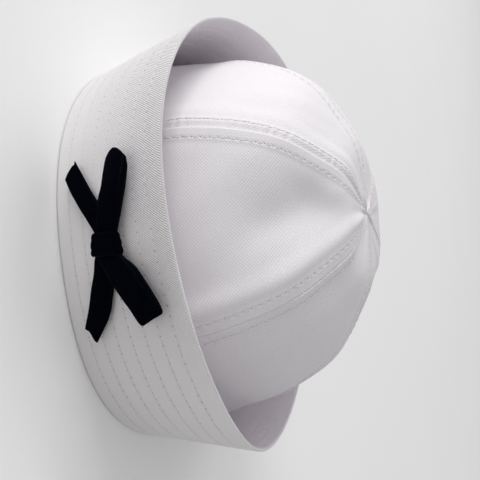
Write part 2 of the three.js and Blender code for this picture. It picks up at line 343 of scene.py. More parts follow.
def thread_piece(name, paths, outwards, material):
    """One mesh of many short threads: paths is (stitches, points along, 3), outwards the same."""
    sides = THREAD_SIDES
    count, along = paths.shape[:2]
    forward = unit(np.gradient(paths, axis=1))
    side = unit(np.cross(forward, outwards))
    up = np.cross(side, forward)
    taper = np.sin(np.linspace(0.32, math.pi - 0.32, along)) ** 0.35
    turn = np.arange(sides) * TAU / sides
    turn_cos, turn_sin = np.cos(turn)[:, None], np.sin(turn)[:, None]
    ring = turn_cos * side[:, :, None] + turn_sin * up[:, :, None]
    points = paths[:, :, None] + ring * (THREAD_RADIUS * taper)[None, :, None, None]
    base = (np.arange(count) * along * sides)[:, None, None]
    step = (np.arange(along - 1) * sides)[None, :, None]
    first = np.arange(sides)[None, None, :]
    second = (first + 1) % sides
    near, far = base + step, base + step + sides
    quads = np.stack([near + first, near + second, far + second, far + first], -1).reshape(-1, 4)
    ends = np.arange(count)[:, None] * along * sides
    start_caps = ends + np.arange(sides)[None, ::-1]
    end_caps = ends + (along - 1) * sides + np.arange(sides)[None, :]
    faces = quads.tolist() + start_caps.tolist() + end_caps.tolist()
    run = np.repeat(np.arange(along) / (along - 1), sides)
    turn_share = np.tile(np.arange(sides) / sides, along)
    single = np.stack([run, turn_share, np.zeros(along * sides)], axis=1)
    coordinates = np.tile(single, (count, 1))
    flat = np.array([index for face in faces for index in face])
    return add_piece(name, points.reshape(-1, 3), faces, coordinates[flat], material)


# ---------------------------------------------------------------- brim

ROW_SHARES = BRIM_FIRST_ROW + BRIM_ROW_STEP * np.arange(BRIM_ROWS)
FOOT_STEPS, FOLD_STEPS, RIM_STEPS = 4, 6, 8
ROW_GROOVE, NEEDLE_PIT, PUCKER_SHARE, QUILT_SWELL = 0.16, 0.24, 0.7, 0.09
INNER_QUILTING = 0.35  # how strongly the inner face mirrors the outer one's
PUCKERS = [(41, 0.4, 0.07), (67, 2.2, 0.06), (101, 4.0, 0.05), (29, 1.3, 0.06)]
BROAD_WAVES = [(3, 0.9, 0.5), (5, 2.6, 0.35), (8, 4.1, 0.2)]


def brim_relief(angle, share):
    """How far the brim's cloth stands out from its plain face: rows sink, and quilting swells between."""
    height = rim_height(angle)
    relief = ripple(angle, BROAD_WAVES) * smooth(share, 0.1, 1)
    needle = 0.5 + 0.5 * np.cos(STITCHES_ROUND * angle)
    for number, row in enumerate(ROW_SHARES):
        away = (share - row) * height
        shift = 1.7 * number
        drawn = 1 + ripple(angle + shift, [(23, 0.5, 0.25), (57, 1.9, 0.3)])
        relief = relief - ROW_GROOVE * drawn * bell(away, 0.6) - NEEDLE_PIT * needle * bell(away, 0.8)
        relief = relief + PUCKER_SHARE * ripple(angle + shift, PUCKERS) * bell(np.abs(away) - 2.6, 2.2)
    swell = np.sin(math.pi * (share - BRIM_FIRST_ROW) / BRIM_ROW_STEP) ** 2
    inside_rows = smooth(share, 0.0, BRIM_FIRST_ROW) * (1 - smooth(share, 0.86, 0.98))
    return relief + QUILT_SWELL * swell * inside_rows


def inner_relief(angle, share):
    """The inner face follows the brim's waves and mirrors its quilting faintly."""
    broad = ripple(angle, BROAD_WAVES) * smooth(share, 0.1, 1)
    return broad - INNER_QUILTING * (brim_relief(angle, share) - broad)


def brim_sections():
    angle = np.arange(BRIM_COLUMNS + 1) * TAU / BRIM_COLUMNS
    height = rim_height(angle)
    fold = ring_radius(FOLD["radius"], FOLD["oval"], FOLD["square"], angle)
    foot_edge = ring_radius(CROWN_MERIDIAN[0][0], FOLD["oval"], FOLD["square"], angle) - CROWN_WALL
    points, run = [], []

    def flat(radius, up, at):
        x = FOLD["x"] + radius * np.cos(angle)
        y = FOLD["y"] + radius * np.sin(angle)
        points.append(np.stack([x, y, np.full(angle.shape, up)], axis=-1))
        run.append(at)

    def wall(share, off, at):
        points.append(brim_point(angle, share, off))
        run.append(at)

    for step in range(FOOT_STEPS):
        flat(mix(foot_edge, fold - FOLD_ROUND, step / FOOT_STEPS), 0.0, -8.0 + 1.5 * step)
    for step in range(FOLD_STEPS + 1):
        turn = step / FOLD_STEPS * math.pi / 2
        radius = fold - FOLD_ROUND + FOLD_ROUND * math.sin(turn)
        flat(radius, FOLD_ROUND * (1 - math.cos(turn)), -2.0 + 0.6 * step)
    for share in np.arange(0.05, 0.975, 0.01):
        wall(share, brim_relief(angle, share), share * BRIM_MEAN_HEIGHT)
    edge = brim_relief(angle, 0.98)
    half = RIM_WALL / 2
    for step in range(RIM_STEPS + 1):
        turn = step / RIM_STEPS * math.pi
        down = half * (1 - math.sin(turn))
        over = BRIM_MEAN_HEIGHT + half * (turn - math.pi / 2)
        wall(1 - down / height, edge - half + half * math.cos(turn), over)
    for share in np.arange(0.97, 0.05, -0.02):
        thickness = mix(BRIM_WALL, RIM_WALL, smooth(share, 0.85, 0.97))
        wall(share, inner_relief(angle, share) - thickness, (2 - share) * BRIM_MEAN_HEIGHT)
    flat(fold - BRIM_WALL - 0.3, FOOT_THICKNESS + 0.35, 2 * BRIM_MEAN_HEIGHT)
    flat(fold - BRIM_WALL - 1.2, FOOT_THICKNESS, 2 * BRIM_MEAN_HEIGHT + 1)
    flat(foot_edge, FOOT_THICKNESS, 2 * BRIM_MEAN_HEIGHT + 4)
    sections = np.stack(points, axis=1)
    around = np.array([*run, run[-1] + 2])
    cloth = np.zeros((len(angle), len(around), 3))
    cloth[..., 0] = (angle * BRIM_MEAN_RADIUS)[:, None]
    cloth[..., 1] = around[None, :]
    return sections[:-1], cloth


def brim_stitches(inner, dice):
    """Paths and outward directions of the stitches of all the rows, on the outer or the inner face."""
    along = np.linspace(0.0, 1.0, 7)
    lift = -0.2 + 0.4 * np.sin(math.pi * along) ** 0.7
    paths, outwards = [], []
    for row in ROW_SHARES:
        start = np.arange(STITCHES_ROUND)[:, None] + dice.uniform(-0.05, 0.05, (STITCHES_ROUND, 1))
        length = 0.82 + dice.uniform(-0.06, 0.04, (STITCHES_ROUND, 1))
        angle = (start + 0.09 + along[None, :] * length) * TAU / STITCHES_ROUND
        share = row + dice.uniform(-0.0012, 0.0012, (STITCHES_ROUND, 1)) + 0 * angle
        if inner:
            off = inner_relief(angle, share) - BRIM_WALL - (lift[None, :] - 0.1)
        else:
            off = brim_relief(angle, share) + lift[None, :]
        paths.append(brim_point(angle, share, off))
        direction = np.stack([np.cos(angle), np.sin(angle), 0 * angle], axis=-1)
        outwards.append(-direction if inner else direction)
    return np.concatenate(paths), np.concatenate(outwards)


# ---------------------------------------------------------------- crown

SEAM_PUCKERS = [(1.31, 0.3, 0.09), (2.17, 1.1, 0.08), (0.83, 4.2, 0.08), (3.3, 2.0, 0.05)]

# A seam's folded band, the groove and needle pits of its stitches, its roll inwards, and the band's
# thickness on the inner face.
BAND_HEIGHT, STITCH_GROOVE, STITCH_PIT, SEAM_ROLL, UNDER_BAND = 0.45, 0.2, 0.16, 0.4, 0.45
# Every seam: how high its fold stands on its first and second side, the first side's shoulder, and how
# far the second side falls away. The last two are the front panel's.
PLAIN_SEAM = (-0.1, 0.3, 0.75, 0.0)
SEAM_FOLDS = [PLAIN_SEAM] * 4 + [
    (-1.1, 0.05, 0.7, 0.0),
    (-0.2, -0.2, 2.0, 1.2),
]

# Places where a seam's first side is pinched into short cross folds: (seam, run up it, half-length).
PINCHES = [(4, 99, 9), (4, 57, 6), (4, 134, 6)]


def seam_relief(distance, run, seam, side, squeeze):
    """Height of a panel's cloth by its distance from a seam: the folded band, its groove, its roll."""
    first_ridge, second_ridge, first_shoulder, fall = SEAM_FOLDS[int(seam) % len(PANELS)]
    distance = distance / squeeze
    shift = 11.3 * seam + 4.1 * side
    clusters = 0.35 + 0.65 * smooth(np.sin(0.071 * run + shift), -0.2, 0.9)
    band = BAND_HEIGHT * (1 - smooth(distance, 5.4, 7.2))
    groove = -STITCH_GROOVE * bell(distance - SEAM_BAND, 0.55)
    needle = 0.5 + 0.5 * np.cos(TAU * run / CROWN_STITCH)
    needle = -STITCH_PIT * needle * bell(distance - SEAM_BAND, 0.8)
    roll = -SEAM_ROLL * bell(distance, 0.35)
    ridge = (second_ridge if side else first_ridge) * (1 - smooth(distance, 0.5, 4.2))
    shoulder = (0.15 if side else first_shoulder) * bell(distance - 11, 5.5)
    if side:
        shoulder = shoulder - fall * smooth(distance, 0, 6.5) * (1 - smooth(distance, 9, 24))
    pucker = ripple(run + shift, SEAM_PUCKERS) * clusters * bell(distance - 3.5, 3.6)
    for pinched_seam, at, reach in PINCHES:
        if pinched_seam == seam and not side:
            folds = 0.34 * np.sin(TAU * (run - at) / 4.4) + 0.12 * np.sin(TAU * (run - at) / 2.9)
            pucker = pucker + folds * bell(run - at, reach) * bell(distance - 2.9, 2.3)
    return (band + groove + needle + roll + ridge + shoulder + pucker) * np.minimum(1, squeeze * 1.6)


def apex_relief(angle, radius):
    gathers = ripple(angle, [(6, 0.3, 0.3), (11, 2.0, 0.34), (17, 0.8, 0.24)])
    return gathers * bell(radius - 6, 5) - 0.5 * bell(radius, 2.2)


def panel_relief(angle, share, first_seam):
    """Relief of the panel that begins at first_seam, at an angle and a share of the way up."""
    radius, _ = meridian(share)
    half_width = radius * PANEL_TURN / 2
    squeeze = np.minimum(1, half_width / NARROW_PANEL)
    run = share * MERIDIAN_LENGTH
    number = round(first_seam / PANEL_TURN)
    relief = apex_relief(angle, radius)
    relief = relief + seam_relief((angle - first_seam) * radius, run, number, 1, squeeze)
    relief = relief + seam_relief((first_seam + PANEL_TURN - angle) * radius, run, number + 1, 0, squeeze)
    drift = ripple(run * 0.09 + 9 * angle, [(1, number, 0.16), (2.3, 1.7 * number, 0.1)])
    return relief + drift * np.sin(math.pi * share)


def panel_sections(number):
    """Closed sections of a crown panel, from its lower edge to the apex, and their cloth coordinates."""
    first_seam = number * PANEL_TURN
    rows, cloth = [], []
    for share in np.linspace(0, 1, PANEL_ROWS + 1):
        radius, _ = meridian(share)
        half_width = radius * PANEL_TURN / 2
        squeeze = min(1, half_width / NARROW_PANEL)
        band = np.array(BAND_COLUMNS) * squeeze
        middle = np.linspace(band[-1], 2 * half_width - band[-1], PANEL_MIDDLE_COLUMNS + 2)[1:-1]
        distance = np.concatenate([band, middle, (2 * half_width - band)[::-1]])
        angle = first_seam + distance / radius
        edge = np.clip(distance, 0.03, 2 * half_width - 0.03)
        outer_angle = first_seam + edge / radius
        close_up = 0.8 * smooth(share, 0.96, 1.0)
        normal = crown_normal(outer_angle, share)
        outer = crown_point(outer_angle, share, -close_up)
        relief = panel_relief(angle, share, first_seam)
        nearest = np.minimum(distance, 2 * half_width - distance) / squeeze
        under = UNDER_BAND * (1 - smooth(nearest, 4.2, 5.4)) * min(1, squeeze * 1.6)
        inner = outer - normal * (CROWN_WALL + under)[:, None]
        outer = outer + normal * relief[:, None]
        rows.append(np.vstack([outer, inner[::-1]]))
        lateral = distance - half_width
        coordinates = np.zeros((2 * len(distance) + 1, 3))
        coordinates[:-1, 0] = np.concatenate([lateral, lateral[::-1]])
        coordinates[-1, 0] = lateral[0]
        coordinates[:, 1] = share * MERIDIAN_LENGTH
        coordinates[:-1, 2] = np.concatenate([nearest, -nearest[::-1]])
        coordinates[-1, 2] = 0.0
        cloth.append(coordinates)
    return np.array(rows), np.array(cloth)


def crown_stitches(inner, dice):
    """Stitches of the rows either side of every seam, from inside the brim nearly to the apex."""
    steps = np.linspace(0.0, 1.0, 7)
    lift = -0.16 + 0.42 * np.sin(math.pi * steps) ** 0.7
    count = int((MERIDIAN_LENGTH - 9) / CROWN_STITCH)
    paths, outwards = [], []
    for seam in range(len(PANELS)):
        for side in (0, 1):
            first_seam = (seam if side else seam - 1) * PANEL_TURN
            start = np.arange(1, count)[:, None] + dice.uniform(-0.05, 0.05, (count - 1, 1))
            length = 0.8 + dice.uniform(-0.06, 0.04, (count - 1, 1))
            share = (start + 0.1 + steps[None, :] * length) * CROWN_STITCH / MERIDIAN_LENGTH
            radius, _ = meridian(share)
            squeeze = np.minimum(1, radius * PANEL_TURN / 2 / NARROW_PANEL)
            wander = dice.uniform(-0.1, 0.1, (count - 1, 1))
            turn = (SEAM_BAND + wander) * squeeze / radius
            angle = seam * PANEL_TURN + (turn if side else -turn)
            normal = crown_normal(angle, share)
            if inner:
                offset = -CROWN_WALL - 0.22 - lift[None, :]
            else:
                offset = panel_relief(angle, share, first_seam) + lift[None, :]
            paths.append(crown_point(angle, share) + normal * offset[..., None])
            outwards.append(-normal if inner else normal)
    return np.concatenate(paths), np.concatenate(outwards)


# ---------------------------------------------------------------- bow


def table_curve(table, samples):
    """The table's edges and offsets on smooth curves, sampled between its rows."""
    flat = [[*low, *high, *rest] for low, high, *rest in table]
    return catmull_rom(flat, samples, False)


def strip_piece(name, surface, material, node):
    """A closed ribbon from its middle surface (along, across, 3), with rounded long edges."""
    along_direction = np.gradient(surface, axis=0)
    across_direction = np.gradient(surface, axis=1)
    normal = unit(np.cross(along_direction, across_direction))
    outward = unit(across_direction)
    half = RIBBON / 2
    columns = surface.shape[1]
    front = surface + normal * half
    back = (surface - normal * half)[:, ::-1]
    bends = []
    for column, sign in ((columns - 1, 1), (0, -1)):
        arc = []
        for step in (1, 2, 3):
            turn = step / 4 * math.pi
            up = math.cos(turn) if sign > 0 else -math.cos(turn)
            lean = normal[:, column] * (half * up) + outward[:, column] * (half * math.sin(turn) * sign)
            arc.append(surface[:, column] + lean)
        bends.append(np.stack(arc, axis=1))
    sections = np.concatenate([front, bends[0], back, bends[1]], axis=1)
    # the lids pair points across the ring, so the ring starts on its last bend
    sections = np.roll(sections, 1, axis=1)
    steps = np.linalg.norm(np.diff(surface[:, columns // 2], axis=0), axis=1)
    run = np.concatenate([[0], np.cumsum(steps)])
    width = np.linspace(-1, 1, columns)
    around = np.concatenate([width, [1.05, 1.1, 1.05], width[::-1], [-1.05, -1.1, -1.05]])
    face = np.concatenate([np.zeros(columns), [0, 0.5, 1], np.ones(columns), [1, 0.5, 0]])
    around, face = np.roll(around, 1), np.roll(face, 1)
    cloth = np.zeros((sections.shape[0], sections.shape[1] + 1, 3))
    cloth[..., 0] = run[:, None]
    cloth[..., 1] = np.append(around, around[0])[None, :]
    cloth[..., 2] = np.append(face, face[0])[None, :]
    return grid_piece(name, sections, cloth, False, material, node)


def edge_push(width, table):
    """How far a ribbon's end reaches beyond its table's last row, by the place across it."""
    return np.interp(width, [w for w, _ in table], [p for _, p in table])


def loop_piece(name, table, sign, end_shape, layer_shift, material, node):
    """A loop of ribbon: its front layer, the turn at its end and its back layer, moved by layer_shift."""
    rows = table_curve(table, BOW_SAMPLES)
    width = np.linspace(0, 1, BOW_COLUMNS)
    low, high = rows[:, 0:2], rows[:, 2:4]
    flat = mix(low[:, None], high[:, None], width[None, :, None])
    front_off, back_off = rows[:, 4], rows[:, 5]
    share = np.arange(len(rows)) / (len(rows) - 1)
    reach = smooth(share, 0.72, 1.0)
    end_direction = unit(flat[-1] - flat[-4])
    push = edge_push(width, end_shape)
    flat = flat + reach[:, None, None] * push[None, :, None] * end_direction[None]
    cup = LOOP_CUP * (1 - (2 * width - 1) ** 2)
    full = smooth(share, 0.1, 0.5)[:, None]
    place = np.arange(len(rows))[:, None] * 0.11 + 2.4 * width[None, :]
    waves = ripple(place, [(2.2, 0.5, 0.14), (4.1, 1.6, 0.08)])
    front = front_point(flat[..., 0], flat[..., 1], front_off[:, None] + (cup[None, :] + waves) * full)
    shifted = flat + np.array(layer_shift)[None, None, :] * reach[:, None, None]
    back_swell = LOOP_BACK_CUP * cup[None, :] * full
    back = front_point(shifted[..., 0], shifted[..., 1], back_off[:, None] - back_swell)
    turn_rows = []
    for step in range(1, 8):
        turn = step / 8 * math.pi
        radius = (front_off[-1] - back_off[-1]) / 2
        middle = mix(flat[-1], shifted[-1], step / 8)
        beyond = middle + end_direction * (radius * math.sin(turn))
        end_cup = cup * mix(1, -LOOP_BACK_CUP, step / 8)
        off = (front_off[-1] + back_off[-1]) / 2 + radius * math.cos(turn) + end_cup
        turn_rows.append(front_point(beyond[:, 0], beyond[:, 1], off))
    surface = np.concatenate([front, np.array(turn_rows), back[::-1]])
    if sign < 0:
        surface = surface[:, ::-1]
    return strip_piece(name, surface, material, node)


def tail_piece(name, table, sign, end_shape, material, node):
    """A tail of ribbon, one layer with a cut end."""
    rows = table_curve(table, BOW_SAMPLES)
    width = np.linspace(0, 1, BOW_COLUMNS)
    flat = mix(rows[:, None, 0:2], rows[:, None, 2:4], width[None, :, None])
    share = np.arange(len(rows)) / (len(rows) - 1)
    reach = smooth(share, 0.86, 1.0)
    push = edge_push(width, end_shape)
    flat = flat + reach[:, None, None] * push[None, :, None] * unit(flat[-1] - flat[-3])[None]
    cup = TAIL_CUP * (1 - (2 * width - 1) ** 2)
    waves = ripple(share[:, None] * 9 + 2.0 * width[None, :], [(1.0, 0.9, 0.16), (2.3, 2.2, 0.08)])
    swell = (cup[None, :] + waves) * smooth(share, 0, 0.3)[:, None]
    surface = front_point(flat[..., 0], flat[..., 1], rows[:, None, 4] + swell)
    if sign < 0:
        surface = surface[:, ::-1]
    return strip_piece(name, surface, material, node)


def knot_ring(across, inset, turn):
    """A ring of the knot's band at a place across it, from -1 to 1, drawn in by inset."""
    half_high = (KNOT_HIGH - KNOT_LOW) / 2 - inset + KNOT_FLARE * across - KNOT_BARREL * across**4
    half_deep = (KNOT_FRONT - KNOT_BACK) / 2 - inset

    def bend(value):
        return np.sign(value) * np.abs(value) ** KNOT_ROUND

    height = (KNOT_HIGH + KNOT_LOW) / 2 + half_high * bend(np.cos(turn))
    off = (KNOT_FRONT + KNOT_BACK) / 2 + half_deep * bend(np.sin(turn))
    return front_point(KNOT_HALF_WIDTH * across, height, off)


def knot_piece(material):
    """The knot: a band of ribbon round the middle of the bow, with soft creases along it."""
    turn = (np.arange(121) + 0.5) / 120 * TAU
    stations = np.linspace(-1, 1, 25)
    columns = []
    for across in stations:
        crease = 0.3 * bell(across - 0.35 - 0.15 * np.sin(turn), 0.16) + 0.22 * bell(across + 0.4, 0.14)
        edge = 0.35 * bell(1 - abs(across), 0.12)
        columns.append(knot_ring(across, 0.1 + crease + edge, turn))
    for across in stations[::-1]:
        columns.append(knot_ring(across, RIBBON, turn))
    sections = np.stack(columns, axis=1)
    cloth = np.zeros((len(turn), sections.shape[1] + 1, 3))
    cloth[..., 0] = (turn * 8)[:, None]
    width = np.concatenate([stations, stations[::-1], stations[:1]])
    face = np.concatenate([np.zeros(len(stations)), np.ones(len(stations)), [0]])
    cloth[..., 1] = width[None, :]
    cloth[..., 2] = face[None, :]
    return grid_piece("bow_knot_velvet", sections[:-1], cloth, True, material, "bow_knot")


# ---------------------------------------------------------------- materials


class Nodes:
    """Builds a material's nodes: each method returns an output socket."""

    def __init__(self, name):
        self.material = bpy.data.materials.new(name)
        self.material.use_nodes = True
        self.tree = self.material.node_tree
        self.shader = self.tree.nodes["Principled BSDF"]

    def node(self, kind, inputs, output=0, **settings):
        made = self.tree.nodes.new(kind)
        for key, value in settings.items():
            setattr(made, key, value)
        for key, value in inputs.items():
            if isinstance(value, bpy.types.NodeSocket):
                self.tree.links.new(value, made.inputs[key])
            else:
                made.inputs[key].default_value = value
        return made.outputs[output]

    def math(self, operation, *values):
        return self.node("ShaderNodeMath", dict(enumerate(values)), operation=operation)

    def cloth(self):
        """The mesh's cloth coordinates, as three sockets."""
        vector = self.node("ShaderNodeAttribute", {}, "Vector", attribute_name="cloth")
        split = self.tree.nodes.new("ShaderNodeSeparateXYZ")
        self.tree.links.new(vector, split.inputs[0])
        return split.outputs[0], split.outputs[1], split.outputs[2]

    def place(self):
        return self.node("ShaderNodeTexCoord", {}, "Object")

    def noise(self, scale, detail, vector):
        inputs = {"Vector": vector, "Scale": scale, "Detail": detail}
        return self.node("ShaderNodeTexNoise", inputs, "Fac")

    def blend(self, share, low, high):
        """A mix of two colours, by the sockets' types, because the mix node repeats its input names."""
        made = self.tree.nodes.new("ShaderNodeMix")
        made.data_type = "RGBA"
        colours = [socket for socket in made.inputs if socket.type == "RGBA"]
        for socket, value in ((made.inputs[0], share), (colours[0], low), (colours[1], high)):
            if isinstance(value, bpy.types.NodeSocket):
                self.tree.links.new(value, socket)
            else:
                socket.default_value = value
        return next(socket for socket in made.outputs if socket.type == "RGBA")

    def ramp(self, value, start, end, first, last):
        """A value that passes from first to last between start and end, and stays there beyond them."""
        limits = {"Value": value, "From Min": start, "From Max": end, "To Min": first, "To Max": last}
        return self.node("ShaderNodeMapRange", limits)

    def bump(self, height, strength, distance, normal=None):
        inputs = {"Height": height, "Strength": strength, "Distance": distance}
        if normal is not None:
            inputs["Normal"] = normal
        return self.node("ShaderNodeBump", inputs)

    def feed(self, name, value):
        if isinstance(value, bpy.types.NodeSocket):
            self.tree.links.new(value, self.shader.inputs[name])
        else:
            self.shader.inputs[name].default_value = value


HOLE_CORE, HOLE_RADIUS = 0.15, 0.42
# Dark tone in the needle holes: painted shade.
HOLE_SHADE_TONE = (0.34, 0.32, 0.33, 1)
PIT_DEPTH = 0.9  # how unevenly the weave's yarns stand out, as a share of their height
# Middle of the stretch round the brim where the twill's painted raking light is strongest.
TWILL_RAKING_LIGHT_AT = 452.0  # millimetres round the brim
INSIDE_FROM = 65.5  # millimetres from the fold, over the rim to the inner face
# Weaves as (degrees from round the cap, pitch in millimetres, weight).
BRIM_WEAVE = [(51, 0.81, 1.0)]
CROWN_WEAVE = [(39, 1.05, 0.42), (137, 1.2, 0.38), (54, 0.71, 0.2)]


def wave(nodes, u, v, degrees, pitch, wander):
    """Lines at an angle from the u direction, as a wave between 0 and 1."""
    cos, sin = math.cos(math.radians(degrees)) / pitch, math.sin(math.radians(degrees)) / pitch
    across = nodes.math("SUBTRACT", nodes.math("MULTIPLY", v, cos), nodes.math("MULTIPLY", u, sin))
    across = nodes.math("ADD", across, wander)
    turned = nodes.math("SINE", nodes.math("MULTIPLY", across, TAU))
    return nodes.math("MULTIPLY_ADD", turned, 0.5, 0.5)


def near_whole(nodes, value):
    """How far a value is from its nearest whole number, signed."""
    return nodes.math("SUBTRACT", nodes.math("FRACT", nodes.math("ADD", value, 0.5)), 0.5)


def needle_holes(nodes, along, away):
    """A mask of the holes that the needle leaves: along and away in millimetres from the nearest one."""
    squares = nodes.math("MULTIPLY_ADD", along, along, nodes.math("MULTIPLY", away, away))
    distance = nodes.math("SQRT", squares)
    return nodes.ramp(distance, HOLE_CORE, HOLE_RADIUS, 1.0, 0.0)


def brim_holes(nodes, u, v, _):
    pitch = BRIM_MEAN_RADIUS * TAU / STITCHES_ROUND
    row = nodes.math("DIVIDE", nodes.math("DIVIDE", v, BRIM_MEAN_HEIGHT), BRIM_ROW_STEP)
    row = nodes.math("SUBTRACT", row, BRIM_FIRST_ROW / BRIM_ROW_STEP)
    along = nodes.math("MULTIPLY", near_whole(nodes, nodes.math("DIVIDE", u, pitch)), pitch)
    away = nodes.math("MULTIPLY", near_whole(nodes, row), BRIM_ROW_STEP * BRIM_MEAN_HEIGHT)
    past_first = nodes.math("GREATER_THAN", row, -0.5)
    on_rows = nodes.math("MULTIPLY", past_first, nodes.math("LESS_THAN", row, BRIM_ROWS - 0.5))
    return nodes.math("MULTIPLY", needle_holes(nodes, along, away), on_rows)


def crown_holes(nodes, _, v, seam_distance):
    along = nodes.math("MULTIPLY", near_whole(nodes, nodes.math("DIVIDE", v, CROWN_STITCH)), CROWN_STITCH)
    away = nodes.math("SUBTRACT", seam_distance, SEAM_BAND)
    return needle_holes(nodes, along, away)


def brim_painted_twill_light(nodes, u, v):
    """How much of the twill's painted light and shade shows: most by the rim on the front's left, where
    light rakes across it, and not on the inner face.
    """
    # Painted raking light: the weave's painted contrast is strongest in a stretch round the front's left,
    # and it grows towards the rim.
    raking_light_side = nodes.math("ABSOLUTE", nodes.math("SUBTRACT", u, TWILL_RAKING_LIGHT_AT))
    raking_light_side = nodes.ramp(raking_light_side, 20.0, 110.0, 1.0, 0.0)
    by_rim = nodes.ramp(v, 12.0, 58.0, 0.0, 1.0)
    painted_weave_share = nodes.math("MULTIPLY_ADD", nodes.math("MULTIPLY", raking_light_side, by_rim), 0.8, 0.2)
    # Over the rim's edge and on the inner face only the lighter plain tone is left. On the rim's edge it
    # is a painted highlight.
    plain_rim_and_inside = nodes.ramp(v, 64.3, 65.0, 1.0, 0.0)
    return nodes.math("MULTIPLY", painted_weave_share, plain_rim_and_inside)


def crown_painted_twill_share(nodes, _, v):
    """How much of the crown's painted weave shade and light shows: alike all over, a little less towards
    its lower edge.
    """
    return nodes.ramp(v, 40.0, 90.0, 0.7, 1.0)


def cotton_material(name, waves, strength, painted_weave_share, plain, low, high, holes, inside=None):
    """Cotton cloth with a soft nap and needle holes: waves are its weave's (degrees, pitch, weight)."""
    nodes = Nodes(name)
    u, v, third = nodes.cloth()
    place = nodes.place()
    slow = nodes.noise(90.0, 2.0, place)
    fuzz = nodes.noise(2600.0, 2.0, place)
    tone = nodes.noise(22.0, 3.0, place)
    wander = nodes.math("MULTIPLY", nodes.math("SUBTRACT", slow, 0.5), 0.5)
    weave = 0.0
    for degrees, pitch, weight in waves:
        weave = nodes.math("MULTIPLY_ADD", wave(nodes, u, v, degrees, pitch, wander), weight, weave)
    pits = nodes.math("MULTIPLY_ADD", nodes.noise(1100.0, 1.0, place), PIT_DEPTH, 1 - PIT_DEPTH / 2)
    weave = nodes.math("MULTIPLY", weave, pits)
    hole = holes(nodes, u, v, third)
    height = nodes.math("MULTIPLY_ADD", fuzz, 0.3, weave)
    height = nodes.math("MULTIPLY_ADD", hole, -2.0, height)
    # The weave's low tone is painted shade in its valleys and its high tone is painted light on its
    # ridges, along the same lines as the bump.
    light = nodes.blend(tone, (*high, 1), (*(value * 1.04 for value in high), 1))
    painted_valley_shade = nodes.blend(tone, (*low, 1), (*(value * 1.04 for value in low), 1))
    flat = nodes.blend(tone, (*plain, 1), (*(value * 1.03 for value in plain), 1))
    # The inner face takes a lighter, more lavender tone: painted light.
    if inside:
        flat = nodes.blend(nodes.math("GREATER_THAN", v, INSIDE_FROM), flat, (*inside, 1))
    # The mask passed in sets how much of the weave's painted light and shade shows over the plain tone.
    woven = nodes.blend(painted_weave_share(nodes, u, v), flat, nodes.blend(weave, painted_valley_shade, light))
    # The needle holes are painted darker, which is painted shade in them, besides their bump.
    painted_hole_shade = nodes.math("MULTIPLY", hole, nodes.math("MULTIPLY_ADD", tone, 1.9, -0.25))
    nodes.feed("Base Color", nodes.blend(painted_hole_shade, woven, HOLE_SHADE_TONE))
    nodes.feed("Roughness", nodes.math("MULTIPLY_ADD", fuzz, 0.12, 0.82))
    nodes.feed("Specular IOR Level", 0.18)
    nodes.feed("Sheen Weight", 0.12)
    nodes.feed("Sheen Roughness", 0.45)
    nodes.feed("Normal", nodes.bump(height, strength, 0.0004))
    return nodes.material


def thread_material():
    """Sewing thread: twisted strands, a little glossier than the cloth."""
    nodes = Nodes("sewing_thread")
    run, turn, _ = nodes.cloth()
    twist = nodes.math("MULTIPLY_ADD", run, 7.0, turn)
    strand = nodes.math("ABSOLUTE", nodes.math("SINE", nodes.math("MULTIPLY", twist, TAU)))
    tone = nodes.noise(160.0, 2.0, nodes.place())
    low = nodes.blend(tone, (0.76, 0.745, 0.75, 1), (0.81, 0.795, 0.8, 1))
    # The thread is painted darker between its twisted strands: painted shade in the twist's grooves.
    nodes.feed("Base Color", nodes.blend(strand, low, (0.88, 0.865, 0.87, 1)))
    nodes.feed("Roughness", nodes.math("MULTIPLY_ADD", tone, 0.2, 0.45))
    nodes.feed("Specular IOR Level", 0.4)
    nodes.feed("Normal", nodes.bump(strand, 0.5, 0.00006))
    return nodes.material


def velvet_material():
    """Velvet ribbon: dark uneven pile, with a flat woven edge showing in places and a plain back."""
    nodes = Nodes("velvet")
    run, width, face = nodes.cloth()
    place = nodes.place()
    pile = nodes.noise(3800.0, 2.0, place)
    nap = nodes.noise(420.0, 3.0, place)
    tone = nodes.noise(60.0, 2.0, place)
    reach = nodes.math("ABSOLUTE", width)
    near_edge = nodes.math("GREATER_THAN", reach, 0.95)
    edge = nodes.math("MULTIPLY", near_edge, nodes.math("LESS_THAN", reach, 1.02))
    shows = nodes.ramp(nodes.noise(45.0, 1.0, place), 0.48, 0.6, 0.25, 1.0)
    edge = nodes.math("MULTIPLY", edge, shows)
    rib = nodes.math("SINE", nodes.math("MULTIPLY", run, TAU / 0.7))
    rib = nodes.math("MULTIPLY_ADD", rib, 0.5, 0.5)
    uneven = nodes.math("MULTIPLY", nap, tone)
    pile_tone = nodes.blend(uneven, (0.0002, 0.0004, 0.0022, 1), (0.0008, 0.0013, 0.005, 1))
    edge_tone = nodes.blend(rib, (0.0012, 0.0018, 0.004, 1), (0.006, 0.008, 0.014, 1))
    plain = nodes.math("MAXIMUM", edge, nodes.math("GREATER_THAN", face, 0.6))
    nodes.feed("Base Color", nodes.blend(plain, pile_tone, edge_tone))
    nodes.feed("Roughness", nodes.math("MULTIPLY_ADD", plain, -0.25, 0.95))
    nodes.feed("Specular IOR Level", 0.02)
    nodes.feed("Sheen Weight", 0.012)
    nodes.feed("Sheen Roughness", 0.3)
    nodes.feed("Sheen Tint", (0.5, 0.6, 0.85, 1))
    height = nodes.math("MULTIPLY_ADD", nap, 0.5, pile)
    nodes.feed("Normal", nodes.bump(height, 0.8, 0.0003))
    return nodes.material


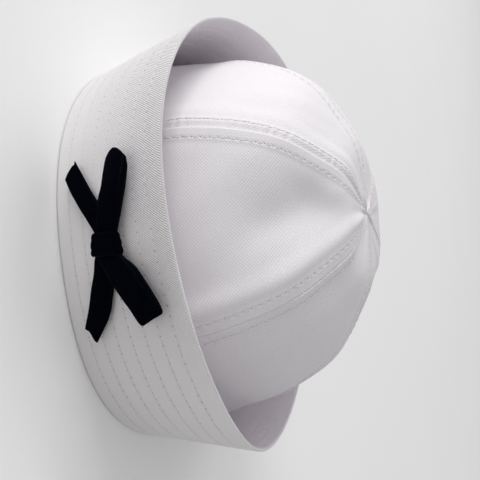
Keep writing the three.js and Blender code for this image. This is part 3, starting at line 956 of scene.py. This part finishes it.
def floor_material():
    """A plain pale floor with a faint unevenness of tone."""
    nodes = Nodes("pale_floor")
    tone = nodes.noise(3.0, 3.0, nodes.place())
    nodes.feed("Base Color", nodes.blend(tone, (0.93, 0.93, 0.925, 1), (0.97, 0.97, 0.965, 1)))
    nodes.feed("Roughness", 0.75)
    nodes.feed("Specular IOR Level", 0.2)
    return nodes.material


# ---------------------------------------------------------------- build the cap

DICE_SEED = 20
dice = np.random.default_rng(DICE_SEED)
# Tones of a cloth: plain, and its weave's low and high, which are painted shade in the weave's valleys and
# painted light on its ridges.
BRIM_TONES = (0.96, 0.936, 0.943), (0.46, 0.446, 0.45), (1.0, 0.975, 0.982)
# The brim's inner face is lighter and more lavender than the same cloth outside: painted light in its
# shaded inside.
BRIM_INSIDE_PAINTED_LIGHT_TONE = (0.99, 0.935, 0.99)
# The crown's tones are darker than the brim's, though both are the same cloth: painted shade.
CROWN_TONES = (0.755, 0.728, 0.749), (0.69, 0.666, 0.685), (0.815, 0.786, 0.809)
brim_cloth = cotton_material(
    "cotton_twill_brim", BRIM_WEAVE, 1.0, brim_painted_twill_light, *BRIM_TONES, brim_holes, BRIM_INSIDE_PAINTED_LIGHT_TONE
)
crown_cloth = cotton_material(
    "cotton_twill_crown", CROWN_WEAVE, 0.4, crown_painted_twill_share, *CROWN_TONES, crown_holes
)
thread = thread_material()
velvet = velvet_material()

sections, cloth = brim_sections()
grid_piece("brim_cloth", sections, cloth, True, brim_cloth, "brim")
paths, outwards = brim_stitches(False, dice)
thread_piece("brim_stitches_outer", paths, outwards, thread)
paths, outwards = brim_stitches(True, dice)
thread_piece("brim_stitches_inner", paths, outwards, thread)

for number, place_name in enumerate(PANELS):
    sections, cloth = panel_sections(number)
    node_name = "crown_panel_" + place_name
    grid_piece(node_name + "_cloth", sections, cloth, False, crown_cloth, node_name)
paths, outwards = crown_stitches(False, dice)
thread_piece("crown_stitches_outer", paths, outwards, thread)
paths, outwards = crown_stitches(True, dice)
thread_piece("crown_stitches_inner", paths, outwards, thread)

# (place across the ribbon from its low edge to its high one, how far its end reaches out there)
LEFT_LOOP_END = [(0, -1.6), (0.12, 0.5), (0.3, 1.9), (0.5, 1.9), (0.75, 0.9), (0.94, -0.2), (1, -0.9)]
RIGHT_LOOP_END = [(0, 0.1), (0.5, 0.0), (1, 0.1)]
LEFT_TAIL_END = [(0, -0.2), (0.3, 0.3), (0.8, 0.1), (0.9, -0.5), (1, 0.4)]
RIGHT_TAIL_END = [(0, 0.2), (0.3, -0.9), (0.5, -0.7), (0.85, 0.2), (1, 0.1)]
loop_piece("bow_loop_left_velvet", LOOP_LEFT, -1, LEFT_LOOP_END, (0.0, 0.3), velvet, "bow_loop_left")
loop_piece("bow_loop_right_velvet", LOOP_RIGHT, 1, RIGHT_LOOP_END, (-0.5, 0.6), velvet, "bow_loop_right")
tail_piece("bow_tail_left_velvet", TAIL_LEFT, -1, LEFT_TAIL_END, velvet, "bow_tail_left")
tail_piece("bow_tail_right_velvet", TAIL_RIGHT, 1, RIGHT_TAIL_END, velvet, "bow_tail_right")
knot_piece(velvet)

# ---------------------------------------------------------------- floor, light and camera

FLOOR_HALF = 6.0
floor_mesh = bpy.data.meshes.new("floor")
floor_corners = [(FLOOR_HALF * x, FLOOR_HALF * y, 0) for x, y in ((-1, -1), (1, -1), (1, 1), (-1, 1))]
floor_mesh.from_pydata(floor_corners, [], [(0, 1, 2, 3)])
floor_mesh.materials.append(floor_material())
floor = bpy.data.objects.new("floor", floor_mesh)
bpy.context.scene.collection.objects.link(floor)

AIM = Vector((0.0, 0.0, 0.06))
LIGHT_DISTANCE = 4.0
LIGHT_SIZE = 2.4


def add_area_light(name, direction, watts):
    """A soft square white light that looks at the cap from a direction."""
    data = bpy.data.lights.new(name, "AREA")
    data.shape = "SQUARE"
    data.size = LIGHT_SIZE
    data.energy = watts
    light = bpy.data.objects.new(name, data)
    light.location = AIM + Vector(direction).normalized() * LIGHT_DISTANCE
    light.rotation_mode = "QUATERNION"
    light.rotation_quaternion = (AIM - light.location).to_track_quat("-Z", "Y")
    bpy.context.scene.collection.objects.link(light)


# (direction from the cap, watts), each a large square light far off, so that it falls evenly on the floor
LIGHTS = {
    "key": ((-0.95, -0.18, 0.26), 112.0),
    "side": ((-0.6, -0.5, 0.6), 5.0),
    "back": ((-0.5, 0.4, 0.75), 20.0),
}
SKY_STRENGTH = 0.53
SKY_COLOUR = (0.99, 0.99, 1.0, 1)
for name, (direction, watts) in LIGHTS.items():
    add_area_light(name, direction, watts)

world = bpy.data.worlds.new("studio")
world.use_nodes = True
background = world.node_tree.nodes["Background"]
background.inputs["Color"].default_value = SKY_COLOUR
background.inputs["Strength"].default_value = SKY_STRENGTH
bpy.context.scene.world = world
bpy.context.scene.view_settings.view_transform = "Standard"

CAMERA_PLACE = Vector((0.0079, -0.3950, 0.2100))
CAMERA_AZIMUTH = math.radians(0.73)
CAMERA_ELEVATION = math.radians(21.82)
CAMERA_ROLL = math.radians(84.42)
camera_data = bpy.data.cameras.new("camera")
camera_data.lens = 60.0
camera_data.sensor_width = 36.0
camera_data.clip_start = 0.01
camera_data.clip_end = 30.0
camera = bpy.data.objects.new("camera", camera_data)
forward = Vector(
    (
        -math.sin(CAMERA_AZIMUTH) * math.cos(CAMERA_ELEVATION),
        math.cos(CAMERA_AZIMUTH) * math.cos(CAMERA_ELEVATION),
        -math.sin(CAMERA_ELEVATION),
    )
)
level_right = forward.cross(Vector((0, 0, 1))).normalized()
level_up = level_right.cross(forward)
right = level_right * math.cos(CAMERA_ROLL) + level_up * math.sin(CAMERA_ROLL)
up = level_up * math.cos(CAMERA_ROLL) - level_right * math.sin(CAMERA_ROLL)
camera.matrix_world = Matrix(
    (
        (right.x, up.x, -forward.x, CAMERA_PLACE.x),
        (right.y, up.y, -forward.y, CAMERA_PLACE.y),
        (right.z, up.z, -forward.z, CAMERA_PLACE.z),
        (0, 0, 0, 1),
    )
)
bpy.context.scene.collection.objects.link(camera)
bpy.context.scene.camera = camera
